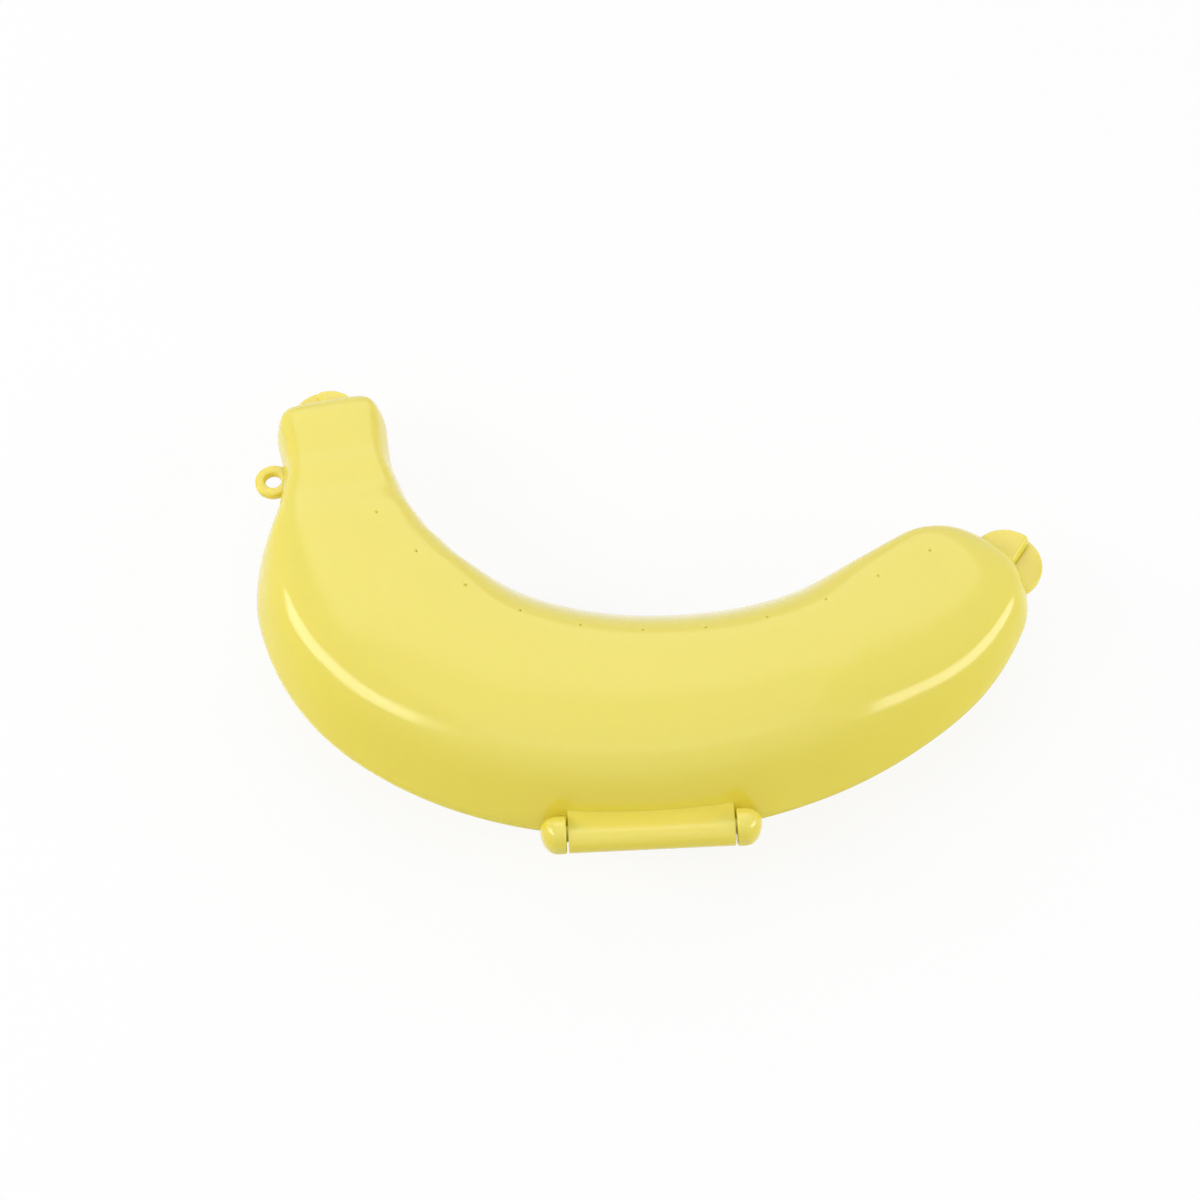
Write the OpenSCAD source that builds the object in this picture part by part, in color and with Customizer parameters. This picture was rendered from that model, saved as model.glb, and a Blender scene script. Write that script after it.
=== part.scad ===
// Banana carrying case: two hinged half shells that close round one banana.
// Millimetres. The case lies flat: +Z up, the parting plane is level,
// the hinge runs along X on the outer (convex) side, the stem end is at -X.

/* [Case body] */
// Widest part of the case across the curve
body_w = 63; // [56:1:70]
// Crown height of one half above the parting plane
half_h = 20; // [18:0.5:23]
// How much of the lower crown is flattened into the rest face
land_drop = 0.4; // [0.3:0.1:0.7]
// Wall thickness of both halves
wall = 1.6; // [1.2:0.1:2.2]
// Gap between the two rims when the case is shut
seam_gap = 0.3; // [0.2:0.05:0.6]
// Rise of the side walls for each millimetre inward from the rim, at the hinge
wall_rise = 1.6; // [1.45:0.05:1.9]
// Sharpness of the shoulder between a side wall and the top
shoulder = 6; // [4:0.5:9]
// Fall of the top from its middle to the rims, as a share of the crown height
top_fall = 0.06; // [0.02:0.01:0.12]
// Length of the middle line from the hinge to the stem end
stem_len = 147; // [138:0.5:160]
// Length of the middle line from the hinge to the tip end
tip_len = 103.5; // [96:0.5:112]
// Length of the rounding at the stem end
stem_round = 9.5; // [7:0.5:11]
// Length of the rounding at the tip end
tip_round = 15; // [12:0.5:20]

/* [Hinge] */
// Middle of the hinge along X
hinge_x = -3; // [-8:0.2:4]
// Length of the barrel on the upper half
barrel_len = 40.4; // [32:0.4:46]
// Diameter of the barrel
barrel_d = 9.5; // [8.5:0.1:10.5]
// Diameter of the knuckles on the lower half
knuckle_d = 7.5; // [6.9:0.1:8.1]
// Width of each knuckle along the axis
knuckle_w = 6.2; // [5:0.2:8]
// Height of the hinge axis above the parting plane
axis_up = 5.1; // [4.8:0.1:5.6]
// Gap between barrel and knuckle faces
end_gap = 0.6; // [0.3:0.1:0.8]
// Diameter of the two stub pins
pin_d = 4; // [3:0.2:4.6]
// Length of each stub pin inside its socket
pin_len = 4; // [3:0.2:6]
// Radial clearance of a pin in its socket
pin_clear = 0.06; // [0.03:0.01:0.09]
// Gap kept between the hinge and the half it swings past
swing_gap = 0.45; // [0.4:0.05:0.7]

/* [Finger tabs] */
// Radius of the split disc at the tip
tip_tab_r = 9.3; // [8:0.1:11]
// How far the tip disc's centre lies inside the tip end
tip_tab_in = 2.1; // [1:0.1:4]
// How far the tip disc's centre lies towards the hinge side
tip_tab_side = 6.5; // [4:0.5:8]
// Radius of the split disc at the stem end
stem_tab_r = 8.8; // [8.2:0.1:10.2]
// How far the stem disc's centre lies inside the stem end
stem_tab_in = 3.8; // [2.6:0.1:4.6]
// How far the stem disc's centre lies towards the hinge side
stem_tab_side = 2.4; // [0:0.2:3.6]
// Thickness of one tab
tab_t = 2; // [1.4:0.1:2.6]
// How far a lower tab reaches under the upper tab beside it
tab_lap = 0.6; // [0:0.1:1.2]

/* [Lanyard ring] */
// Outer diameter of the ring
ring_d = 9.6; // [8:0.2:12]
// Bore of the ring
ring_bore = 4.2; // [3:0.2:5]
// Thickness of the ring
ring_t = 2.6; // [2:0.1:3.4]
// Distance of the ring from the stem end along the middle line
ring_back = 18.8; // [16:0.2:24]
// Room between the ring's bore and the side of the neck
ring_room = 0.7; // [0.5:0.1:1.5]

/* [Vents] */
// Number of vent holes in each half
vent_count = 11; // [5:2:11]
// Diameter of a vent hole
vent_d = 1.2; // [0.8:0.1:2]
// Distance between vents along the vent row
vent_pitch = 15.5; // [12:0.5:15.5]
// Distance of the vent row from the inner (concave) rim
vent_in = 13.6; // [11:0.2:16]

/* [Hidden] */
$fn = 48;

// Stations run from -100 (stem end) over 0 (hinge) to 100 (tip end).
// Bend of the middle line, degrees per millimetre at each station.
BEND = [[-100, 0], [-82, -0.2], [-67, 0.88], [-52, 1.1], [-33.5, 0.755],
        [-13.5, 0.56], [14, 0.495], [48, 0.63], [81, 0.47], [110, 0.35]];
// Half width as a share of half the widest part.
WIDE = [[-100, 0.54], [-95, 0.465], [-87.5, 0.45], [-79.5, 0.532], [-70, 0.722], [-61, 0.862],
        [-41.5, 0.982], [-21.5, 1], [0, 0.979], [33.5, 0.91], [50, 0.862], [67, 0.812], [100, 0.526]];
// Crown height as a share of the tallest crown.
TALL = [[-100, 0.55], [-91, 0.57], [-81.5, 0.64], [-68, 0.85], [-58, 0.945], [-48, 0.995], [-40, 1], [0, 1],
        [34, 1], [44, 0.965], [52, 0.9], [61, 0.815], [71, 0.74], [82, 0.67], [100, 0.57]];
// Steepness of the side walls as a share of their rise at the hinge.
STEEP = [[-100, 3], [-86, 2.9], [-76, 2.1], [-66, 1.7], [-52, 1.65], [-44, 1.43], [-30, 1.08], [-8, 1],
         [20, 1], [36, 1.04], [51, 1.15], [60, 1.32], [72, 1.4], [100, 1.34]];
// Lengths of one hundredth of each side for which the bends are given.
STEM_BEND_STEP = 1.47;
TIP_BEND_STEP = 1.035;

// Smooth curve through a table, without overshoot.
function place(T, x, i = 0) = i >= len(T) - 2 || x < T[i + 1][0] ? i : place(T, x, i + 1);
function rise(T, i) = (T[i + 1][1] - T[i][1]) / (T[i + 1][0] - T[i][0]);
function lean(T, i) = i == 0 ? rise(T, 0) : i == len(T) - 1 ? rise(T, i - 1) :
    rise(T, i - 1) * rise(T, i) <= 0 ? 0 :
    2 * rise(T, i - 1) * rise(T, i) / (rise(T, i - 1) + rise(T, i));
function along(T, i, g, u) = T[i][1] * (1 + 2 * u) * (1 - u) * (1 - u) + lean(T, i) * g * u * (1 - u) * (1 - u)
    + T[i + 1][1] * u * u * (3 - 2 * u) + lean(T, i + 1) * g * u * u * (u - 1);
function curve(T, x) = let (i = place(T, x), g = T[i + 1][0] - T[i][0]) along(T, i, g, (x - T[i][0]) / g);

// Middle line: walked outward from the hinge in steps of one hundredth of each side.
function station(s) = s < 0 ? 100 * s / stem_len : 100 * s / tip_len;
stem_step = stem_len / 100;
tip_step = tip_len / 100;
function walk(p, k, d, nominal) = let (h = p[2] + sign(d) * nominal * curve(BEND, k), m = (p[2] + h) / 2)
    [p[0] + d * cos(m), p[1] + d * sin(m), h];
STEM = [for (i = 0, p = [0, 0, 0]; i <= 100; p = walk(p, -i - 0.5, -stem_step, STEM_BEND_STEP), i = i + 1) p];
TIP = [for (i = 0, p = [0, 0, 0]; i <= 100; p = walk(p, i + 0.5, tip_step, TIP_BEND_STEP), i = i + 1) p];
function line(k) = let (L = k < 0 ? STEM : TIP, a = min(99, floor(abs(k))), u = abs(k) - a)
    L[a] * (1 - u) + L[a + 1] * u;

// Half width, crown height and wall rise at a distance s from the hinge.
function half_w(s) = body_w / 2 * curve(WIDE, station(s));
function crown(s) = half_h * curve(TALL, station(s));
function wall_rise_at(s) = wall_rise * curve(STEEP, station(s));

// Stations of the shell grid: [distance, end factor]; the ends are rounded off.
STEM_POW = 2.2;
TIP_POW = 2.2;
STEM_N = 7;
BODY_N = 38;
TIP_N = 8;
function grid(t) = concat(
    [for (i = [1:STEM_N]) let (a = 90 * i / STEM_N)
        [t - stem_len + (stem_round - t) * (1 - pow(cos(a), 2 / STEM_POW)), pow(sin(a), 2 / STEM_POW)]],
    [for (i = [1:BODY_N - 1]) let (u = i / BODY_N)
        [(stem_round - stem_len) * (1 - u) + (tip_len - tip_round) * u, 1]],
    [for (i = [TIP_N:-1:1]) let (a = 90 * i / TIP_N)
        [tip_len - t - (tip_round - t) * (1 - pow(cos(a), 2 / TIP_POW)), pow(sin(a), 2 / TIP_POW)]]);
ROWS = STEM_N + BODY_N - 1 + TIP_N;
// Columns from the middle to a rim, as shares of the half width; closer at the shoulder.
SIDE = [0, 0.16, 0.31, 0.43, 0.53, 0.61, 0.68, 0.75, 0.83, 0.92, 1];
COLS = 2 * (len(SIDE) - 1);

// One point of a half: t is the inset from the outside, up is 1 or -1, cap is the flat's height.
// The cross-section has leaning side walls and a gently crowned top, blended at the shoulders.
function blend(p, q) = pow(pow(p, -shoulder) + pow(q, -shoulder), -1 / shoulder);
rim_share = sqrt(1 + 1 / pow(wall_rise, 2));
function skin(g, j, t, up, cap) = let (
    s = g[0], q = line(station(s)), k = j - COLS / 2, u = sign(k) * SIDE[abs(k)],
    a = (half_w(s) - t * rim_share) * g[1], c = (crown(s) - t) * g[1] - seam_gap / 2, y = a * u,
    z = j == 0 || j == COLS ? 0 : blend(c * (1 - top_fall * u * u), a * (1 - abs(u)) * wall_rise_at(s)))
    [q[0] - y * sin(q[2]), q[1] + y * cos(q[2]), part_z + up * min(z + seam_gap / 2, cap - t)];
function tip_of(s, up) = let (q = line(station(s))) [q[0], q[1], part_z + up * seam_gap / 2];

part_z = half_h - land_drop;
function cap_of(up) = up > 0 ? half_h : part_z;

// Side faces of a grid block from row a to row b; n is the first point's number.
function sheet(a, b, n) = [for (i = [a:b - 1], j = [0:COLS - 1]) let (p = n + (i - a) * (COLS + 1) + j)
    each [[p, p + 1, p + COLS + 2], [p, p + COLS + 2, p + COLS + 1]]];
function turned(F) = [for (f = F) [f[2], f[1], f[0]]];
function faced(F, up) = up > 0 ? F : turned(F);

// A closed block of the outside, rows a to b, filled down to the parting plane.
module block(a, b, up) {
    G = grid(0);
    P = [for (i = [a:b], j = [0:COLS]) skin(G[i], j, 0, up, cap_of(up))];
    n = b - a;
    w = COLS + 1;
    F = concat(sheet(a, b, 0),
        [for (j = [1:COLS - 1]) [0, j + 1, j]],
        [for (j = [1:COLS - 1]) [n * w, n * w + j, n * w + j + 1]],
        [for (i = [0:n - 1]) each [[i * w, (i + 1) * w, i * w + COLS],
                                   [(i + 1) * w, (i + 1) * w + COLS, i * w + COLS]]]);
    polyhedron(P, faced(F, up));
}

// The rounded end of the outside, from row a to the end point; far is 1 at the tip, 0 at the stem.
module end_block(a, up, far) {
    G = grid(0);
    m = far ? ROWS - 1 : a;
    k = far ? a : 0;
    P = concat([for (i = [k:m], j = [0:COLS]) skin(G[i], j, 0, up, cap_of(up))],
        [tip_of(far ? tip_len : -stem_len, up)]);
    n = m - k;
    w = COLS + 1;
    e = len(P) - 1;
    c = far ? 0 : n * w;
    o = far ? n * w : 0;
    F = concat(sheet(k, m, 0),
        [for (j = [1:COLS - 1]) far ? [c, c + j + 1, c + j] : [c, c + j, c + j + 1]],
        [for (j = [0:COLS - 1]) far ? [o + j, o + j + 1, e] : [o + j + 1, o + j, e]],
        [far ? [o, e, o + COLS] : [e, o, o + COLS]],
        [for (i = [0:n - 1]) each [[i * w, (i + 1) * w, i * w + COLS],
                                   [(i + 1) * w, (i + 1) * w + COLS, i * w + COLS]]]);
    polyhedron(P, faced(F, up));
}

// One half shell: outside, inside and the flat rim between them.
module half_shell(up) {
    A = grid(0);
    B = grid(wall);
    w = COLS + 1;
    P = concat([for (i = [0:ROWS - 1], j = [0:COLS]) skin(A[i], j, 0, up, cap_of(up))],
        [for (i = [0:ROWS - 1], j = [0:COLS]) skin(B[i], j, wall, up, cap_of(up))],
        [tip_of(-stem_len, up), tip_of(tip_len, up), tip_of(wall - stem_len, up), tip_of(tip_len - wall, up)]);
    b = ROWS * w;
    z = (ROWS - 1) * w;
    e = 2 * b;
    F = concat(sheet(0, ROWS - 1, 0), turned(sheet(0, ROWS - 1, b)),
        [for (j = [0:COLS - 1]) each [[j + 1, j, e], [z + j, z + j + 1, e + 1],
            [b + j, b + j + 1, e + 2], [b + z + j + 1, b + z + j, e + 3]]],
        [for (i = [0:ROWS - 2]) let (p = i * w, q = p + w) each [[p, q, b + q], [p, b + q, b + p],
            [q + COLS, p + COLS, b + q + COLS], [p + COLS, b + p + COLS, b + q + COLS]]],
        [[e, 0, b], [e, b, e + 2], [COLS, e, b + COLS], [e, e + 2, b + COLS],
         [z, e + 1, b + z], [e + 1, e + 3, b + z], [e + 1, z + COLS, b + z + COLS],
         [e + 1, b + z + COLS, e + 3]]);
    polyhedron(P, faced(F, up));
}

// The vents lie in one row, evenly spaced, on the inner (concave) side.
function vent_y(s) = half_w(s) - vent_in;
function vent_next(s, d) = let (m = s + 0.6 * d)
    s + d / (1 - curve(BEND, station(m)) * PI / 180 * vent_y(m));
function vent_s(k) = k == 0 ? hinge_x : vent_next(vent_s(k - sign(k)), sign(k) * vent_pitch);
module vents(up) {
    side = (vent_count - 1) / 2;
    for (k = [-side:side]) {
        s = vent_s(k);
        q = line(station(s));
        y = vent_y(s);
        translate([q[0] - y * sin(q[2]), q[1] + y * cos(q[2]), part_z + (up > 0 ? half_h * 0.2 : -half_h)])
            cylinder(d = vent_d, h = half_h * 0.8 + 1, $fn = 16);
    }
}

// Hinge places: the axis lies just outside the hinge-side rim and above the parting plane.
axis_out = sqrt(max(0.2, pow(barrel_d / 2 + swing_gap, 2) - pow(axis_up, 2)));
axis_y = -half_w(0) - axis_out;
axis_z = part_z + axis_up;
knuckle_in = barrel_len / 2 + end_gap;
knuckle_r = knuckle_d / 2;
rim_r = 180 / PI / curve(BEND, 0) + half_w(0);
rim_fall = pow(knuckle_in, 2) / (2 * rim_r);
foot_in = axis_out + rim_fall - swing_gap;

// Grid rows that reach past the hinge on both sides.
function row_of(s) = STEM_N - 1 + round(BODY_N * (s + stem_len - stem_round)
    / (stem_len + tip_len - stem_round - tip_round));
hinge_reach = 1.6 * (knuckle_in + knuckle_w);
ROW_A = row_of(hinge_x - hinge_reach);
ROW_B = row_of(hinge_x + hinge_reach);

// Local frame of the hinge: Z along the axis, X down, Y towards the case.
module across(x) {
    translate([hinge_x + x, axis_y, axis_z]) rotate([0, 90, 0]) children();
}

// The barrel: a round bar with a web that carries it on the upper wall.
web_top = 0.6;
web_low = 3.4;
web_deep = 7;
module hinge_barrel() color("khaki") difference() {
    across(-barrel_len / 2) union() {
        cylinder(d = barrel_d, h = barrel_len);
        translate([-web_top, 0, 0]) cube([web_top + web_low, web_deep, barrel_len]);
    }
    across(-barrel_len / 2 - 1) cylinder(d = pin_d + 2 * pin_clear, h = pin_len + 1);
    across(barrel_len / 2 - pin_len) cylinder(d = pin_d + 2 * pin_clear, h = pin_len + 1);
    block(ROW_A, ROW_B, 1);
}

// A knuckle: a round head with a rounded outer end, on a foot that grows out of the lower wall.
knuckle_soft = knuckle_d * 0.44;
foot_low = axis_up + 6;
foot_top = axis_up + swing_gap;
foot_deep = 9;
module knuckle(side) color("gold") difference() {
    union() {
        across(side * knuckle_in) mirror([0, 0, side > 0 ? 0 : 1]) rotate_extrude() intersection() {
            union() {
                square([knuckle_r, knuckle_w - knuckle_soft]);
                square([knuckle_r - knuckle_soft, knuckle_w]);
                translate([knuckle_r - knuckle_soft, knuckle_w - knuckle_soft]) circle(knuckle_soft);
            }
            square([knuckle_r, knuckle_w]);
        }
        across(side > 0 ? knuckle_in : -knuckle_in - knuckle_w * 0.8) linear_extrude(knuckle_w * 0.8) polygon([
            [0, -0.98 * knuckle_r], [0.3 * knuckle_r, -0.95 * knuckle_r], [0.78 * knuckle_r, -0.7 * knuckle_r],
            [foot_low, 1], [foot_low, foot_deep], [foot_top, foot_deep],
            [foot_top, foot_in], [0, foot_in + 1]]);
    }
    block(ROW_A, ROW_B, -1);
}
module knuckle_left() knuckle(-1);
module knuckle_right() knuckle(1);

// Stub pins stand on the inner knuckle faces and turn in the barrel's sockets.
socket_end = 0.4;
pin_full = end_gap + pin_len - socket_end;
module pin_left() color("goldenrod") across(-knuckle_in) cylinder(d = pin_d, h = pin_full);
module pin_right() color("goldenrod") across(knuckle_in - pin_full) cylinder(d = pin_d, h = pin_full);

// Finger tabs: a disc at each end, split lengthways, one half on each shell.
// Tabs and ring stand back a little from the rim that carries them.
rim_step = seam_gap / 2 + 0.15;
tip_end = line(100);
stem_end = line(-100);
module half_disc(r, up) intersection() {
    translate([0, 0, up > 0 ? rim_step : -rim_step - tab_t]) cylinder(r = r, h = tab_t);
    translate([-2 * r, up > 0 ? 0 : tab_lap - 2 * r, -2 * tab_t])
        cube([4 * r, 2 * r, 4 * tab_t]);
}
module tip_tab(up) difference() {
    translate([tip_end[0], tip_end[1], part_z]) rotate(tip_end[2])
        translate([-tip_tab_in, -tip_tab_side, 0]) half_disc(tip_tab_r, up);
    end_block(ROWS - TIP_N - 6, up, 1);
}
module stem_tab(up) difference() {
    translate([stem_end[0], stem_end[1], part_z]) rotate(stem_end[2])
        translate([stem_tab_in, -stem_tab_side, 0]) half_disc(stem_tab_r, up);
    end_block(STEM_N + 3, up, 0);
}
module upper_tip_tab() color("gold") tip_tab(1);
module lower_tip_tab() color("gold") tip_tab(-1);
module upper_stem_tab() color("gold") stem_tab(1);
module lower_stem_tab() color("gold") stem_tab(-1);

// Lanyard ring: stands beside the neck, below the parting plane.
module lanyard_ring() color("gold") difference() {
    s = ring_back - stem_len;
    q = line(station(s));
    y = -half_w(s) - ring_bore / 2 - ring_room;
    translate([q[0] - y * sin(q[2]), q[1] + y * cos(q[2]), part_z - ring_t - rim_step]) difference() {
        cylinder(d = ring_d, h = ring_t);
        translate([0, 0, -1]) cylinder(d = ring_bore, h = ring_t + 2);
    }
    block(2, STEM_N + 8, -1);
}

// Each half is one moulding, given as two solids: the body, and the neck that the ring stands beside.
// They meet on a plane across the middle line, just past the ring.
neck_len = ring_back + ring_d / 2 + 0.9;
module neck_side() {
    q = line(station(neck_len - stem_len));
    translate([q[0], q[1], part_z]) rotate(q[2]) translate([-2 * neck_len, -body_w, -2 * half_h])
        cube([2 * neck_len, 2 * body_w, 4 * half_h]);
}
module body_shell(up) difference() {
    half_shell(up);
    vents(up);
    neck_side();
}
module neck_shell(up) intersection() {
    half_shell(up);
    neck_side();
}
module lower_shell() color("yellow") body_shell(-1);
module lower_neck() color("yellow") neck_shell(-1);
module upper_shell() color("yellow") body_shell(1);
module upper_neck() color("yellow") neck_shell(1);

lower_shell();
lower_neck();
knuckle_left();
knuckle_right();
pin_left();
pin_right();
lower_tip_tab();
lower_stem_tab();
lanyard_ring();
upper_shell();
upper_neck();
hinge_barrel();
upper_tip_tab();
upper_stem_tab();
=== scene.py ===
import math

import bpy
from mathutils import Matrix, Vector


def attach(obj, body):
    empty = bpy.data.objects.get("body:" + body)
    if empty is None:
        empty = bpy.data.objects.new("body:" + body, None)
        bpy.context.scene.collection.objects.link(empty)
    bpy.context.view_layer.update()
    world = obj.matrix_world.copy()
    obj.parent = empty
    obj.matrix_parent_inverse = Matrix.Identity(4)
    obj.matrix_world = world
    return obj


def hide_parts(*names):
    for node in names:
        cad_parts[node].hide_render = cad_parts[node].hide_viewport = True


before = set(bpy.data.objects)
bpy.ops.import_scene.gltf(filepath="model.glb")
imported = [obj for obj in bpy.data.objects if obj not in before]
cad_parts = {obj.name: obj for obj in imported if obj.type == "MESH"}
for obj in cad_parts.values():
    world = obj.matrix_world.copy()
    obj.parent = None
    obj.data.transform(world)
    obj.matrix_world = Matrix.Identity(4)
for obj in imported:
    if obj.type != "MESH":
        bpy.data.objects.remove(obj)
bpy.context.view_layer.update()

# All sizes below are in millimetres, in the frame of the CAD part: +Z up, hinge along X,
# stem end at -X. They become metres when a mesh is made.
MM = 0.001

# Case body. Length, width, wall and seam are those of the part's source.
BODY_W = 63.0
HALF_H = 20.0
LAND_DROP = 0.4
WALL = 1.6
SEAM_GAP = 0.3
WALL_RISE = 1.6
TOP_FALL = 0.06
STEM_LEN = 147.0
TIP_LEN = 103.5
STEM_ROUND = 9.5
TIP_ROUND = 15.0
STEM_POW = 2.5
TIP_POW = 2.2
PART_Z = HALF_H - LAND_DROP
# Bend of the middle line in degrees per millimetre, half width and crown height as shares,
# by station: -100 at the stem end, 0 at the hinge, 100 at the tip.
BEND = [(-100, 0), (-82, -0.2), (-67, 0.88), (-52, 1.1), (-33.5, 0.755),
        (-13.5, 0.56), (14, 0.495), (48, 0.63), (81, 0.47), (110, 0.35)]
WIDE = [(-100, 0.54), (-95, 0.465), (-87.5, 0.45), (-79.5, 0.532), (-70, 0.722), (-61, 0.862),
        (-41.5, 0.982), (-21.5, 1), (0, 0.979), (33.5, 0.91), (50, 0.862), (67, 0.812), (100, 0.526)]
TALL = [(-100, 0.55), (-87.5, 0.565), (-83, 0.632), (-79.5, 0.645), (-72.5, 0.785), (-66, 0.865),
        (-58, 0.945), (-48, 0.995), (-40, 1), (0, 1), (34, 1), (44, 0.965), (52, 0.9), (61, 0.815),
        (71, 0.74), (82, 0.67), (100, 0.57)]
# Steepness of the side walls as a share of their rise at the hinge.
STEEP = [(-100, 3), (-86, 2.9), (-76, 2.4), (-66, 1.75), (-52, 1.65), (-44, 1.43), (-30, 1.08), (-8, 1),
         (20, 1), (36, 1.04), (51, 1.15), (60, 1.32), (72, 1.5), (85, 1.75), (100, 1.8)]
# Sharpness of the shoulder between a side wall and the top, on the hollow side and on the hinge side.
SHARP_BACK = [(-100, 3.2), (-84, 3.4), (-70, 3.6), (-50, 3.4), (-20, 3.5), (20, 3.5), (50, 3.4),
              (80, 3.2), (100, 2.8)]
SHARP_FRONT = [(-100, 3.2), (-80, 3.2), (-64, 2.35), (-45, 2.35), (-25, 3.2), (20, 3.4), (50, 2.7),
               (75, 2.2), (100, 2.2)]

# Resolution of the shells: rows along the case, columns from the middle to a rim.
STEM_ROWS = 14
BODY_ROWS = 150
TIP_ROWS = 20
SIDE_COLS = 34
# Rounding of the outer rim edge: its inset, the heights of its start and middle, and the inset
# of the flat rim.
RIM_IN = 0.24
RIM_UP = 0.38
RIM_MID = 0.13
RIM_FLAT = 0.45

# Hinge.
HINGE_X = -3.0
BARREL_LEN = 40.4
BARREL_R = 4.75
KNUCKLE_R = 4.3
KNUCKLE_W = 6.4
KNUCKLE_DOME = 4.2
KNUCKLE_FOOT = 3.4
KNUCKLE_GAP = 0.42
KNUCKLE_TOE = 1.5
KNUCKLE_MID = 2.0
KNUCKLE_DOWN = 6.0
KNUCKLE_DEEP = 9.0
KNUCKLE_EASE = 0.3
KNUCKLE_PINCH = 0.07
KNUCKLE_TIP = 0.02
KNUCKLE_GRAIN = 0.2
KNUCKLE_FAIR = 5
AXIS_UP = 5.1
END_GAP = 0.6
SOCKET_R = 2.06
SOCKET_DEEP = 4.0
SWING_GAP = 0.45
LID_ROOM = 0.3
BARREL_TOP = 2.5
BARREL_LEAN = 18.0
BARREL_EDGE = 3.3
WEB_LOW = 3.4
WEB_DEEP = 7.0

# Tabs, ring and vents.
TAB_T = 2.0
TAB_SOFT = 0.45
RIM_STEP = SEAM_GAP / 2 + 0.15
# Split discs: radius, centre from the case's end along and across the middle line, reach past the split.
TABS = {"upper_tip": {"r": 9.3, "along": -2.1, "side": -6.5, "lap": 1.2},
        "lower_tip": {"r": 9.5, "along": -1.8, "side": -6.5, "lap": 0.3},
        "upper_stem": {"r": 7.8, "along": 2.8, "side": 0.1, "lap": 1.5},
        "lower_stem": {"r": 8.8, "along": 2.4, "side": -1.1, "lap": 0.9}}
TAB_SLANT = 1.0
RING_R = 4.8
RING_BORE = 2.1
RING_T = 2.6
RING_SOFT = 0.9
RING_BACK = 18.8
RING_ROOM = 0.7
VENT_COUNT = 11
VENT_R = 0.6
VENT_PITCH = 15.5
VENT_IN = 13.6
VENT_BORE = 0.14
VENT_CONE = 0.4

# How deep the small pieces reach into the wall that carries them.
ROOT = 0.8

# Looks: the plastic's tint on steep walls, and on level faces a lighter, whiter yellow that is a painted
# sheen standing in for the reflection they catch.
DEEP_YELLOW = (0.806, 0.680, 0.059, 1)
SHEEN_YELLOW = (0.818, 0.704, 0.122, 1)

# Light: the world's share of the light, and how much of the floor's white is its own.
WORLD_LIGHT = 0.35
FLOOR_GLOW = 0.87
FLOOR_HALF = 3000
FLOOR_Z = -0.02

# Camera: degrees above the table and around the case, distance, width seen there and shift of the picture.
VIEW_UP = 60
VIEW_TURN = -3
VIEW_FROM = 750
VIEW_WIDE = 304.56
VIEW_SHIFT = (-0.04225, 0.0156)
VIEW_AT = (0, 30, PART_Z)
SENSOR = 36


# Shape of the case.

def curve(table, x):
    """Smooth curve through a table, without overshoot."""
    last = len(table) - 1

    def rise(i):
        return (table[i + 1][1] - table[i][1]) / (table[i + 1][0] - table[i][0])

    def lean(i):
        if i == 0 or i == last:
            return rise(min(i, last - 1))
        a, b = rise(i - 1), rise(i)
        return 0 if a * b <= 0 else 2 * a * b / (a + b)

    i = 0
    while i < last - 1 and x >= table[i + 1][0]:
        i += 1
    gap = table[i + 1][0] - table[i][0]
    u = (x - table[i][0]) / gap
    return (table[i][1] * (1 + 2 * u) * (1 - u) ** 2 + lean(i) * gap * u * (1 - u) ** 2
            + table[i + 1][1] * u * u * (3 - 2 * u) + lean(i + 1) * gap * u * u * (u - 1))


def walk(way, step):
    """Points (x, y, heading) of the middle line from the hinge outward, in hundredths of that side."""
    points = [(0.0, 0.0, 0.0)]
    for i in range(101):
        x, y, heading = points[-1]
        turned = heading + way * step * curve(BEND, way * (i + 0.5))
        middle = math.radians((heading + turned) / 2)
        points.append((x + way * step * math.cos(middle), y + way * step * math.sin(middle), turned))
    return points


STEM_LINE = walk(-1, STEM_LEN / 100)
TIP_LINE = walk(1, TIP_LEN / 100)


def station(s):
    return 100 * s / (STEM_LEN if s < 0 else TIP_LEN)


def line(s):
    """Point and heading of the middle line at distance s from the hinge."""
    k = abs(station(s))
    points = STEM_LINE if s < 0 else TIP_LINE
    i = min(99, int(k))
    return [a + (b - a) * (k - i) for a, b in zip(points[i], points[i + 1])]


def half_w(s):
    return BODY_W / 2 * curve(WIDE, station(s))


def crown(s):
    return HALF_H * curve(TALL, station(s))


def wall_rise_at(s):
    return WALL_RISE * curve(STEEP, station(s))


def beside(s, y):
    """Plan position at distance s along the middle line and y across it."""
    qx, qy, heading = line(s)
    h = math.radians(heading)
    return qx - y * math.sin(h), qy + y * math.cos(h)


def rows(t):
    """(distance, end factor) of each row of a skin that lies t inside the outside."""
    found = []
    for i in range(1, STEM_ROWS + 1):
        a = math.pi / 2 * i / STEM_ROWS
        reach = (STEM_ROUND - t) * (1 - max(0, math.cos(a)) ** (2 / STEM_POW))
        found.append((t - STEM_LEN + reach, math.sin(a) ** (2 / STEM_POW)))
    first, last = STEM_ROUND - STEM_LEN, TIP_LEN - TIP_ROUND
    for i in range(1, BODY_ROWS):
        found.append((first + (last - first) * i / BODY_ROWS, 1))
    for i in range(TIP_ROWS, 0, -1):
        a = math.pi / 2 * i / TIP_ROWS
        reach = (TIP_ROUND - t) * (1 - max(0, math.cos(a)) ** (2 / TIP_POW))
        found.append((TIP_LEN - t - reach, math.sin(a) ** (2 / TIP_POW)))
    return found


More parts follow.
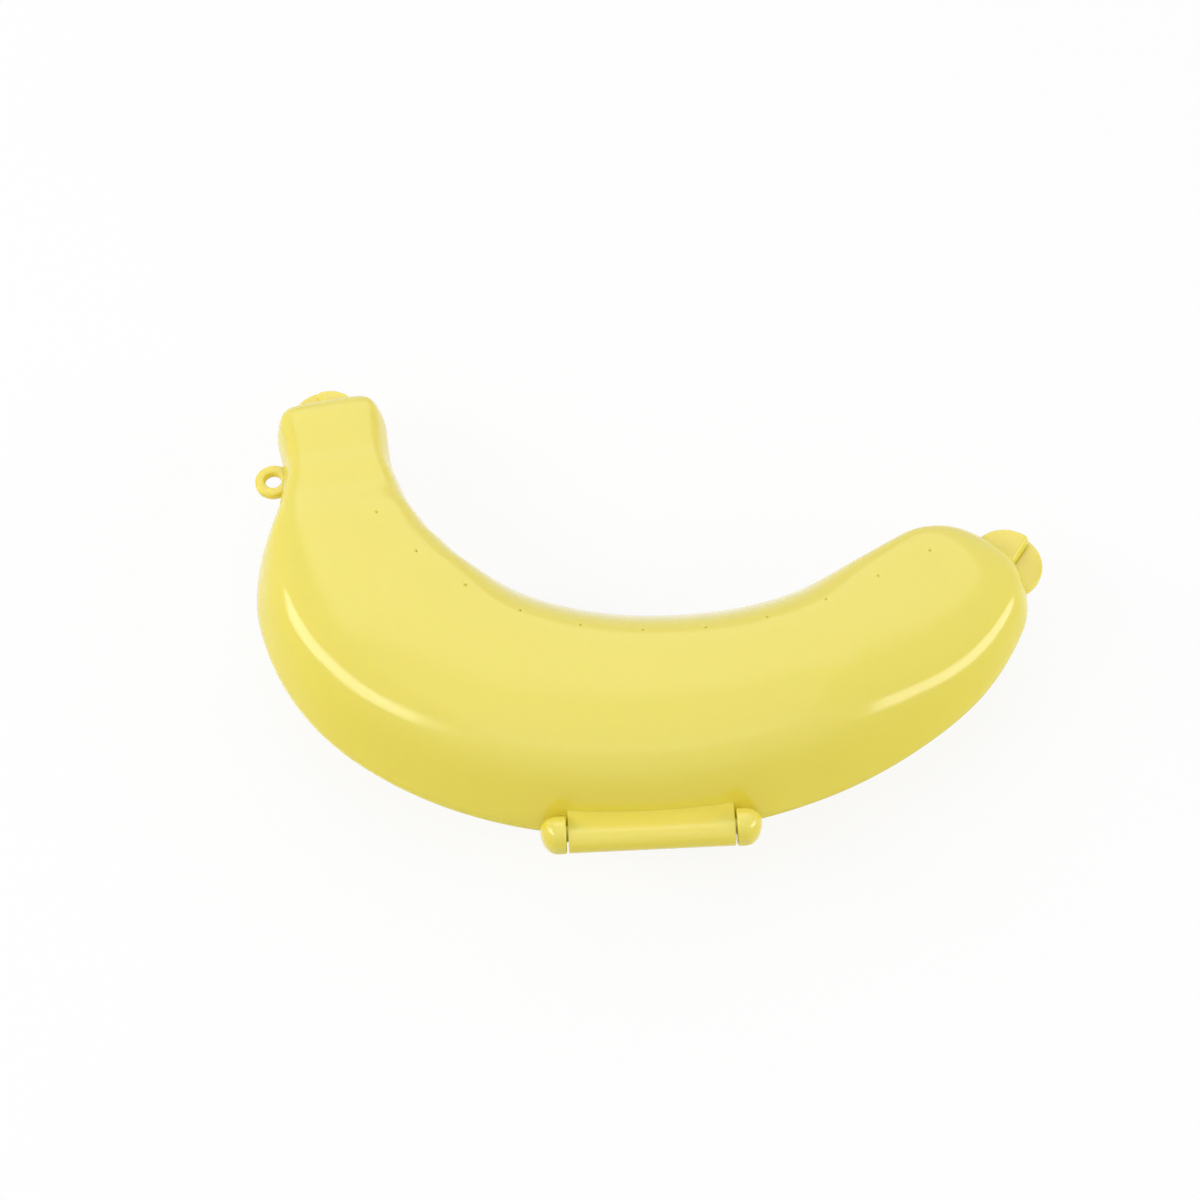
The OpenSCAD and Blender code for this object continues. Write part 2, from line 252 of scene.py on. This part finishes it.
def skin(s, end, u, t, up, seam):
    """Point of a half at share u of its half width; t is the inset, up is 1 or -1, seam half the gap."""
    a = (half_w(s) - t * math.hypot(1, 1 / WALL_RISE)) * end
    c = (crown(s) - t) * end - seam
    top, side = c * (1 - TOP_FALL * u * u), a * (1 - abs(u)) * wall_rise_at(s)
    ahead = min(1, max(0, 0.5 - u))
    front = ahead ** 2 * (3 - 2 * ahead)
    sharp = curve(SHARP_BACK, station(s)) * (1 - front) + curve(SHARP_FRONT, station(s)) * front
    z = 0 if side < 1e-6 else (top ** -sharp + side ** -sharp) ** (-1 / sharp)
    x, y = beside(s, a * u)
    cap = (HALF_H if up > 0 else PART_Z) - t
    return Vector((x, y, PART_Z + up * min(z + seam, cap)))


def shares():
    return [j / SIDE_COLS for j in range(-SIDE_COLS, SIDE_COLS + 1)]


# Mesh tools.

def piece_of(name, points, faces):
    mesh = bpy.data.meshes.new(name)
    mesh.from_pydata([Vector(p) * MM for p in points], [], faces)
    mesh.validate()
    piece = bpy.data.objects.new(name, mesh)
    bpy.context.scene.collection.objects.link(piece)
    return piece


def settle(piece):
    """Applies the piece's modifiers."""
    graph = bpy.context.evaluated_depsgraph_get()
    done = bpy.data.meshes.new_from_object(piece.evaluated_get(graph))
    piece.modifiers.clear()
    old, piece.data = piece.data, done
    bpy.data.meshes.remove(old)


def discard(piece):
    mesh = piece.data
    bpy.data.objects.remove(piece)
    bpy.data.meshes.remove(mesh)


def combine(piece, tool, how, keep_tool=False):
    step = piece.modifiers.new("combine", "BOOLEAN")
    step.operation, step.object, step.solver = how, tool, "EXACT"
    settle(piece)
    if not keep_tool:
        discard(tool)


def soften(piece, width, segments=3):
    step = piece.modifiers.new("soften", "BEVEL")
    step.width, step.segments = width * MM, segments
    step.limit_method, step.angle_limit = "ANGLE", math.radians(40)
    settle(piece)


def melt(piece, grain, passes):
    """Remeshes a piece finely and smooths its inner corners into fillets."""
    step = piece.modifiers.new("grain", "REMESH")
    step.mode, step.voxel_size = "VOXEL", grain * MM
    step = piece.modifiers.new("fair", "SMOOTH")
    step.factor, step.iterations = 0.5, passes
    settle(piece)


def smooth(piece, angle=32):
    for face in piece.data.polygons:
        face.use_smooth = True
    piece.data.set_sharp_from_angle(angle=math.radians(angle))


def prism(name, outline, low, high, place, top=None):
    """An outline in the local XY plane, drawn from low to high along local Z; top is the outline up there."""
    n = len(outline)
    rings = ((low, outline), (high, top or outline))
    points = [place @ Vector((x, y, z)) for z, ring in rings for x, y in ring]
    faces = [list(range(n))[::-1], list(range(n, 2 * n))]
    faces += [[i, (i + 1) % n, n + (i + 1) % n, n + i] for i in range(n)]
    return piece_of(name, points, faces)


def lathe(name, profile, place, steps=72):
    """A profile of (radius, height) turned about local Z; a radius of 0 closes an end."""
    points, rings = [], []
    turns = [2 * math.pi * k / steps for k in range(steps)]
    for r, z in profile:
        count = steps if r > 1e-6 else 1
        rings.append([len(points) + k for k in range(count)])
        points += [place @ Vector((r * math.cos(a), r * math.sin(a), z)) for a in turns[:count]]
    faces = []
    for a, b in zip(rings, rings[1:]):
        for k in range(steps):
            quad = [a[k % len(a)], a[(k + 1) % len(a)], b[(k + 1) % len(b)], b[k % len(b)]]
            faces.append(list(dict.fromkeys(quad)))
    if len(rings[0]) > 1 and len(rings[-1]) > 1:
        for k in range(steps):
            a, b = rings[-1], rings[0]
            faces.append([a[k], a[(k + 1) % steps], b[(k + 1) % steps], b[k]])
    return piece_of(name, points, faces)


def arc(cx, cy, rx, ry, start, end, steps):
    turns = [math.radians(start + (end - start) * k / steps) for k in range(steps + 1)]
    return [(cx + rx * math.cos(a), cy + ry * math.sin(a)) for a in turns]


# Shells.

def grid(t, up, seam):
    """Points of a skin row by row, and the two end points of its middle line."""
    points = [[skin(s, end, u, t, up, seam) for u in shares()] for s, end in rows(t)]
    ends = []
    for s in (t - STEM_LEN, TIP_LEN - t):
        x, y, _ = line(s)
        ends.append(Vector((x, y, PART_Z + up * seam)))
    return points, ends


def half_shell(name, up):
    """One half: outside, inside, and a rim with a rounded outer edge."""
    outer, outer_ends = grid(0, up, SEAM_GAP / 2)
    inner, inner_ends = grid(WALL, up, SEAM_GAP / 2)
    n, w = len(outer), len(outer[0])
    points = [p for row in outer for p in row] + [p for row in inner for p in row] + outer_ends + inner_ends
    base, tail = n * w, 2 * n * w
    faces = []
    for start, flip in ((0, False), (base, True)):
        stem, tip = (tail, tail + 1) if start == 0 else (tail + 2, tail + 3)
        corners = [start + i * w + j for i in range(n - 1) for j in range(w - 1)]
        skin_faces = [[k, k + 1, k + w + 1, k + w] for k in corners]
        skin_faces += [[start + j + 1, start + j, stem] for j in range(w - 1)]
        far = start + (n - 1) * w
        skin_faces += [[far + j, far + j + 1, tip] for j in range(w - 1)]
        faces += [f[::-1] if flip else f for f in skin_faces]

    def rim_loop(start, stem, tip):
        return ([start + i * w for i in range(n)] + [tip]
                + [start + i * w + w - 1 for i in reversed(range(n))] + [stem])

    outside, inside = rim_loop(0, tail, tail + 1), rim_loop(base, tail + 2, tail + 3)
    loops = [outside, [], [], inside]
    # The rounding shrinks where the rows close up at both ends.
    for k, i in zip(outside, inside):
        row = 0 if k == tail else n - 1 if k == tail + 1 else k // w
        share = min(1, 0.5 * rows(0)[row][1] ** 2 * half_w(rows(0)[row][0]) * WALL_RISE / SIDE_COLS / RIM_UP)
        edge = points[k].copy()
        way = (points[i] - edge).normalized()
        lift = Vector((0, 0, up))
        points[k] = edge + (way * RIM_IN + lift * RIM_UP) * share
        for loop, along, high in ((loops[1], RIM_IN, RIM_MID), (loops[2], RIM_FLAT, 0)):
            loop.append(len(points))
            points.append(edge + (way * along + lift * high) * share)
    for a, b in zip(loops, loops[1:]):
        m = len(a)
        faces += [[a[k], a[(k + 1) % m], b[(k + 1) % m], b[k]] for k in range(m)]
    if up > 0:
        faces = [f[::-1] for f in faces]
    return piece_of(name, points, faces)


def vent_places():
    """Distances of the vents along the middle line, evenly spaced along their own row."""
    def following(s, d):
        m = s + 0.6 * d
        return s + d / (1 - math.radians(curve(BEND, station(m))) * (half_w(m) - VENT_IN))

    left, right = [HINGE_X], [HINGE_X]
    for _ in range((VENT_COUNT - 1) // 2):
        left.append(following(left[-1], -VENT_PITCH))
        right.append(following(right[-1], VENT_PITCH))
    return left[:0:-1] + right


def skin_height(s, y):
    """Height of the outside above the parting plane at distance s, y across the middle line."""
    return skin(s, 1, y / half_w(s), 0, 1, SEAM_GAP / 2).z - PART_Z


def drill_vents(shell, up):
    """Small funnel-shaped holes through the wall."""
    for s in vent_places():
        y = half_w(s) - VENT_IN
        x0, y0 = beside(s, y)
        top = min(skin_height(s, y), HALF_H if up > 0 else PART_Z)
        place = Matrix.Translation((x0, y0, PART_Z)) @ Matrix.Diagonal((1, 1, up, 1))
        profile = [(0, top - WALL - 2), (VENT_BORE, top - WALL - 2), (VENT_BORE, top - VENT_CONE),
                   (VENT_R, top), (VENT_R, top + 1.5), (0, top + 1.5)]
        tool = lathe("vent_drill", profile if up > 0 else profile[::-1], place, 24)
        combine(shell, tool, "DIFFERENCE")


def closed_solid(name, loops, ends):
    """A solid through closed loops, with an end point at each end."""
    n, w = len(loops), len(loops[0])
    points = [p for loop in loops for p in loop] + ends
    faces = [[i * w + j, (i + 1) * w + j, (i + 1) * w + (j + 1) % w, i * w + (j + 1) % w]
             for i in range(n - 1) for j in range(w)]
    faces += [[j, (j + 1) % w, n * w] for j in range(w)]
    faces += [[(n - 1) * w + (j + 1) % w, (n - 1) * w + j, n * w + 1] for j in range(w)]
    return piece_of(name, points, faces)


def core_solid():
    """The closed case a little inside its outside; it trims the small pieces, then it is discarded."""
    upper, ends = grid(ROOT, 1, 0)
    lower, _ = grid(ROOT, -1, 0)
    return closed_solid("core", [a + b[-2:0:-1] for a, b in zip(upper, lower)], ends)


def lid_room():
    """The upper half with some room around it; it trims the knuckles, then it is discarded."""
    upper, ends = grid(-LID_ROOM, 1, 0)
    low = PART_Z - LID_ROOM
    loops = [row + [Vector((p.x, p.y, low)) for p in row[::-1]] for row in upper]
    return closed_solid("lid_room", loops, ends)


# Hinge.

RIM_BEND_R = math.degrees(1) / curve(BEND, 0) + half_w(0)
AXIS_OUT = math.sqrt((BARREL_R + SWING_GAP) ** 2 - AXIS_UP ** 2)
AXIS_Y = -half_w(0) - AXIS_OUT
AXIS_Z = PART_Z + AXIS_UP
KNUCKLE_IN = BARREL_LEN / 2 + END_GAP
FOOT_IN = AXIS_OUT + KNUCKLE_IN ** 2 / (2 * RIM_BEND_R) - SWING_GAP


def across(x):
    """Local frame of the hinge: Z along the axis, X down, Y towards the case."""
    return Matrix.Translation((HINGE_X + x, AXIS_Y, AXIS_Z)) @ Matrix.Rotation(math.pi / 2, 4, "Y")


def hinge_barrel(core):
    """A bar with a round front, a flatter top that runs into the upper wall and a pin socket in each end."""
    low = math.degrees(math.atan2(math.sqrt(BARREL_R ** 2 - WEB_LOW ** 2), WEB_LOW))
    start, lean = 180 - BARREL_LEAN, math.radians(BARREL_LEAN)
    inner = BARREL_R - BARREL_EDGE
    front = start + math.degrees(math.acos((BARREL_TOP - BARREL_EDGE) / inner))
    cx, cy = inner * math.cos(math.radians(front)), inner * math.sin(math.radians(front))
    outline = arc(cx, cy, BARREL_EDGE, BARREL_EDGE, start, front, 32)
    outline += arc(0, 0, BARREL_R, BARREL_R, front, 360 + low, 72)[1:]
    outline += [(WEB_LOW, WEB_DEEP), (math.tan(lean) * WEB_DEEP - BARREL_TOP / math.cos(lean), WEB_DEEP)]
    piece = prism("barrel_skin", outline, -BARREL_LEN / 2, BARREL_LEN / 2, across(0))
    soften(piece, 0.35)
    for side in (-1, 1):
        reach = [(0, BARREL_LEN / 2 - SOCKET_DEEP), (SOCKET_R, BARREL_LEN / 2 - SOCKET_DEEP),
                 (SOCKET_R, BARREL_LEN / 2 + 1), (0, BARREL_LEN / 2 + 1)]
        socket = lathe("socket", [(r, side * z) for r, z in reach][::side], across(0), 48)
        combine(piece, socket, "DIFFERENCE")
    combine(piece, core, "DIFFERENCE", keep_tool=True)
    return piece


def knuckle(name, side, core):
    """A bracket with a round head that grows out of the lower wall; its outer end is domed."""
    r, toe, mid, ease = KNUCKLE_R, KNUCKLE_TOE, KNUCKLE_MID, KNUCKLE_EASE
    front, down, rim = KNUCKLE_FOOT - toe, AXIS_UP + KNUCKLE_DOWN, AXIS_UP + SWING_GAP
    outline = arc(0, 0, r, r, 30, 270, 48) + [(front, -r)]
    outline += arc(front, toe - r, toe, toe, -90, -30, 6)
    outline += [(down, mid), (down, KNUCKLE_DEEP), (rim, KNUCKLE_DEEP), (rim, FOOT_IN)]
    place = across(side * (BARREL_LEN / 2 + KNUCKLE_GAP)) @ Matrix.Diagonal((1, 1, side, 1))
    dome = KNUCKLE_W - KNUCKLE_DOME
    steps = [0, 0.4 * ease, ease]
    steps += [dome + KNUCKLE_DOME * math.sin(math.radians(a)) for a in range(0, 91, 6)]
    points, n = [], len(outline)
    for a in steps:
        if a < ease:
            share = 1 - KNUCKLE_PINCH * (1 - a / ease) ** 2
        else:
            share = math.sqrt(max(KNUCKLE_TIP ** 2, 1 - max(0, (a - dome) / KNUCKLE_DOME) ** 2))
        points += [place @ Vector((mid + (px - mid) * share, mid + (py - mid) * share, a))
                   for px, py in outline]
    faces = [list(range(n))[::-1], list(range((len(steps) - 1) * n, len(steps) * n))]
    faces += [[k * n + i, k * n + (i + 1) % n, (k + 1) * n + (i + 1) % n, (k + 1) * n + i]
              for k in range(len(steps) - 1) for i in range(n)]
    piece = piece_of(name, points, [f[::side] for f in faces])
    melt(piece, KNUCKLE_GRAIN, KNUCKLE_FAIR)
    combine(piece, core, "DIFFERENCE", keep_tool=True)
    combine(piece, lid_room(), "DIFFERENCE")
    return piece


# Tabs and ring.

def half_tab(name, end_s, tab, up, core):
    """Half of a split disc at one end of the case, with soft edges; the upper half has a slanted cut."""
    x, y, heading = line(end_s)
    place = Matrix.Translation((x, y, PART_Z)) @ Matrix.Rotation(math.radians(heading), 4, "Z")
    place = place @ Matrix.Translation((tab["along"], tab["side"], 0))

    def outline(lap):
        slip = math.degrees(math.asin(lap / tab["r"]))
        return [(px, up * py) for px, py in arc(0, 0, tab["r"], tab["r"], -slip, 180 + slip, 60)[::up]]

    low, high = (RIM_STEP, RIM_STEP + TAB_T) if up > 0 else (-RIM_STEP - TAB_T, -RIM_STEP)
    wider = tab["lap"] + (TAB_SLANT if up > 0 else 0)
    piece = prism(name, outline(wider), low, high, place, outline(tab["lap"]))
    soften(piece, TAB_SOFT)
    combine(piece, core, "DIFFERENCE", keep_tool=True)
    return piece


def lanyard_ring(core):
    s = RING_BACK - STEM_LEN
    x, y = beside(s, -half_w(s) - RING_BORE - RING_ROOM)
    low, high, f = -RING_T / 2, RING_T / 2, RING_SOFT
    profile = arc(RING_R - f, low + f, f, f, -90, 0, 8) + arc(RING_R - f, high - f, f, f, 0, 90, 8)
    profile += arc(RING_BORE + f, high - f, f, f, 90, 180, 8) + arc(RING_BORE + f, low + f, f, f, 180, 270, 8)
    place = Matrix.Translation((x, y, PART_Z - RIM_STEP - RING_T / 2))
    piece = lathe("ring_skin", profile, place)
    combine(piece, core, "DIFFERENCE", keep_tool=True)
    return piece


# Looks.

def case_plastic():
    """Semi-gloss lemon-yellow polypropylene: slightly translucent, with a faint moulding grain; its level
    faces carry a painted sheen.
    """
    mat = bpy.data.materials.new("case_plastic")
    mat.use_nodes = True
    nodes, links = mat.node_tree.nodes, mat.node_tree.links
    base = nodes["Principled BSDF"]
    base.inputs["IOR"].default_value = 1.52
    base.inputs["Subsurface Weight"].default_value = 0.3
    base.inputs["Subsurface Radius"].default_value = (1.0, 0.7, 0.25)
    base.inputs["Subsurface Scale"].default_value = 0.0025

    place = nodes.new("ShaderNodeTexCoord")
    cloud = nodes.new("ShaderNodeTexNoise")
    cloud.inputs["Scale"].default_value = 28
    cloud.inputs["Detail"].default_value = 4
    links.new(place.outputs["Object"], cloud.inputs["Vector"])
    # Painted sheen: level faces get a lighter, whiter yellow than steep walls, standing in for the reflection
    # they catch; a faint cloudiness shifts the tint everywhere.
    way = nodes.new("ShaderNodeSeparateXYZ")
    links.new(place.outputs["Normal"], way.inputs["Vector"])
    level = nodes.new("ShaderNodeMath")
    level.operation = "ABSOLUTE"
    links.new(way.outputs["Z"], level.inputs[0])
    # Painted sheen: the more level a face, the more of the sheen yellow it gets.
    painted_sheen = nodes.new("ShaderNodeMapRange")
    painted_sheen.inputs["From Min"].default_value = 0.45
    painted_sheen.inputs["From Max"].default_value = 0.95
    painted_sheen.inputs["To Max"].default_value = 0.8
    links.new(level.outputs[0], painted_sheen.inputs["Value"])
    share = nodes.new("ShaderNodeMath")
    share.operation = "MULTIPLY_ADD"
    share.inputs[1].default_value = 0.2
    links.new(cloud.outputs["Fac"], share.inputs[0])
    links.new(painted_sheen.outputs["Result"], share.inputs[2])
    tint = nodes.new("ShaderNodeMix")
    tint.data_type = "RGBA"
    tint.inputs[6].default_value = DEEP_YELLOW
    tint.inputs[7].default_value = SHEEN_YELLOW
    links.new(share.outputs[0], tint.inputs[0])
    links.new(tint.outputs[2], base.inputs["Base Color"])

    grain = nodes.new("ShaderNodeTexNoise")
    grain.inputs["Scale"].default_value = 900
    grain.inputs["Detail"].default_value = 3
    links.new(place.outputs["Object"], grain.inputs["Vector"])
    rub = nodes.new("ShaderNodeMapRange")
    rub.inputs["To Min"].default_value = 0.13
    rub.inputs["To Max"].default_value = 0.18
    links.new(grain.outputs["Fac"], rub.inputs["Value"])
    links.new(rub.outputs["Result"], base.inputs["Roughness"])
    bump = nodes.new("ShaderNodeBump")
    bump.inputs["Strength"].default_value = 0.04
    bump.inputs["Distance"].default_value = 0.0002
    links.new(grain.outputs["Fac"], bump.inputs["Height"])
    links.new(bump.outputs["Normal"], base.inputs["Normal"])
    return mat


def seen_directly(tree):
    """A socket that is 1 for what the camera sees straight, in a reflection or through glass, else 0."""
    path = tree.nodes.new("ShaderNodeLightPath")
    seen = path.outputs["Is Camera Ray"]
    for name in ("Is Glossy Ray", "Is Transmission Ray"):
        either = tree.nodes.new("ShaderNodeMath")
        either.operation = "MAXIMUM"
        tree.links.new(seen, either.inputs[0])
        tree.links.new(path.outputs[name], either.inputs[1])
        seen = either.outputs[0]
    return seen


def floor_white():
    """White paper: mostly plain white where it is seen, with part of the shading kept for the shadow."""
    mat = bpy.data.materials.new("floor_white")
    mat.use_nodes = True
    tree = mat.node_tree
    base = tree.nodes["Principled BSDF"]
    base.inputs["Base Color"].default_value = (0.9, 0.9, 0.9, 1)
    base.inputs["Roughness"].default_value = 0.9
    base.inputs["Specular IOR Level"].default_value = 0.0
    glow = tree.nodes.new("ShaderNodeEmission")
    glow.inputs["Color"].default_value = (1, 1, 1, 1)
    glow.inputs["Strength"].default_value = 1.0
    share = tree.nodes.new("ShaderNodeMath")
    share.operation = "MULTIPLY"
    share.inputs[1].default_value = FLOOR_GLOW
    tree.links.new(seen_directly(tree), share.inputs[0])
    mix = tree.nodes.new("ShaderNodeMixShader")
    tree.links.new(share.outputs[0], mix.inputs[0])
    tree.links.new(base.outputs[0], mix.inputs[1])
    tree.links.new(glow.outputs[0], mix.inputs[2])
    tree.links.new(mix.outputs[0], tree.nodes["Material Output"].inputs["Surface"])
    return mat


def floor():
    corners = [(x * FLOOR_HALF, y * FLOOR_HALF, FLOOR_Z) for x, y in ((-1, -1), (1, -1), (1, 1), (-1, 1))]
    piece = piece_of("floor", corners, [[0, 1, 2, 3]])
    piece.data.materials.append(floor_white())


def lamp(name, way, distance, size, radiance, turn=0):
    """A soft box in the direction (azimuth, elevation) from the case; azimuth 0 is the camera's side."""
    azimuth, elevation = (math.radians(v) for v in way)
    toward = Vector((math.sin(azimuth) * math.cos(elevation), -math.cos(azimuth) * math.cos(elevation),
                     math.sin(elevation)))
    data = bpy.data.lights.new(name, "AREA")
    data.shape, data.size, data.size_y = "RECTANGLE", size[0], size[1]
    data.energy = radiance * math.pi * size[0] * size[1]
    lamp_object = bpy.data.objects.new(name, data)
    lamp_object.location = Vector((0, 0.03, 0.02)) + toward * distance
    facing = (-toward).to_track_quat("-Z", "Y") @ Matrix.Rotation(math.radians(turn), 3, "Z").to_quaternion()
    lamp_object.rotation_euler = facing.to_euler()
    bpy.context.scene.collection.objects.link(lamp_object)


def studio():
    lamp("back", (180, 44), 1.0, (1.0, 1.0), 1.1)
    lamp("left", (-86, 33), 0.95, (1.0, 0.3), 4.5, 40)
    lamp("right", (78, 19), 0.95, (0.9, 0.3), 4.3, -42)
    lamp("front", (0, 50), 1.2, (1.8, 1.2), 0.34)
    lamp("top", (0, 85), 1.0, (0.8, 0.8), 0.5)
    world = bpy.data.worlds.new("studio")
    world.use_nodes = True
    tree = world.node_tree
    back = tree.nodes["Background"]
    back.inputs["Color"].default_value = (1, 1, 1, 1)
    level = tree.nodes.new("ShaderNodeMapRange")
    level.inputs["To Min"].default_value = WORLD_LIGHT
    level.inputs["To Max"].default_value = 1.0
    tree.links.new(seen_directly(tree), level.inputs["Value"])
    tree.links.new(level.outputs["Result"], back.inputs["Strength"])
    bpy.context.scene.world = world
    bpy.context.scene.view_settings.view_transform = "Standard"


def camera():
    elevation, azimuth = math.radians(VIEW_UP), math.radians(VIEW_TURN)
    way = Vector((math.sin(azimuth) * math.cos(elevation), -math.cos(azimuth) * math.cos(elevation),
                  math.sin(elevation)))
    data = bpy.data.cameras.new("camera")
    data.sensor_width = SENSOR
    data.lens = SENSOR * VIEW_FROM / VIEW_WIDE
    data.shift_x, data.shift_y = VIEW_SHIFT
    eye = bpy.data.objects.new("camera", data)
    eye.location = (Vector(VIEW_AT) + way * VIEW_FROM) * MM
    eye.rotation_euler = (-way).to_track_quat("-Z", "Y").to_euler()
    bpy.context.scene.collection.objects.link(eye)
    bpy.context.scene.camera = eye


# Assembly.

def place_piece(piece, body, nodes, material):
    piece.data.materials.clear()
    piece.data.materials.append(material)
    smooth(piece)
    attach(piece, body)
    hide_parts(*nodes)


def build():
    plastic = case_plastic()
    core = core_solid()
    for half, body, up in (("upper", "upper_half", 1), ("lower", "lower_half", -1)):
        shell = half_shell(half + "_shell_skin", up)
        drill_vents(shell, up)
        place_piece(shell, body, [half + "_shell", half + "_neck"], plastic)
        tip = half_tab(half + "_tip_tab_skin", TIP_LEN, TABS[half + "_tip"], up, core)
        place_piece(tip, body, [half + "_tip_tab"], plastic)
        stem = half_tab(half + "_stem_tab_skin", -STEM_LEN, TABS[half + "_stem"], up, core)
        place_piece(stem, body, [half + "_stem_tab"], plastic)
    place_piece(hinge_barrel(core), "upper_half", ["hinge_barrel"], plastic)
    for node, side in (("knuckle_left", -1), ("knuckle_right", 1)):
        place_piece(knuckle(node + "_skin", side, core), "lower_half", [node], plastic)
    place_piece(lanyard_ring(core), "lower_half", ["lanyard_ring"], plastic)
    discard(core)
    for node in ("pin_left", "pin_right"):
        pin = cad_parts[node]
        pin.data.materials.clear()
        pin.data.materials.append(plastic)


build()
floor()
studio()
camera()
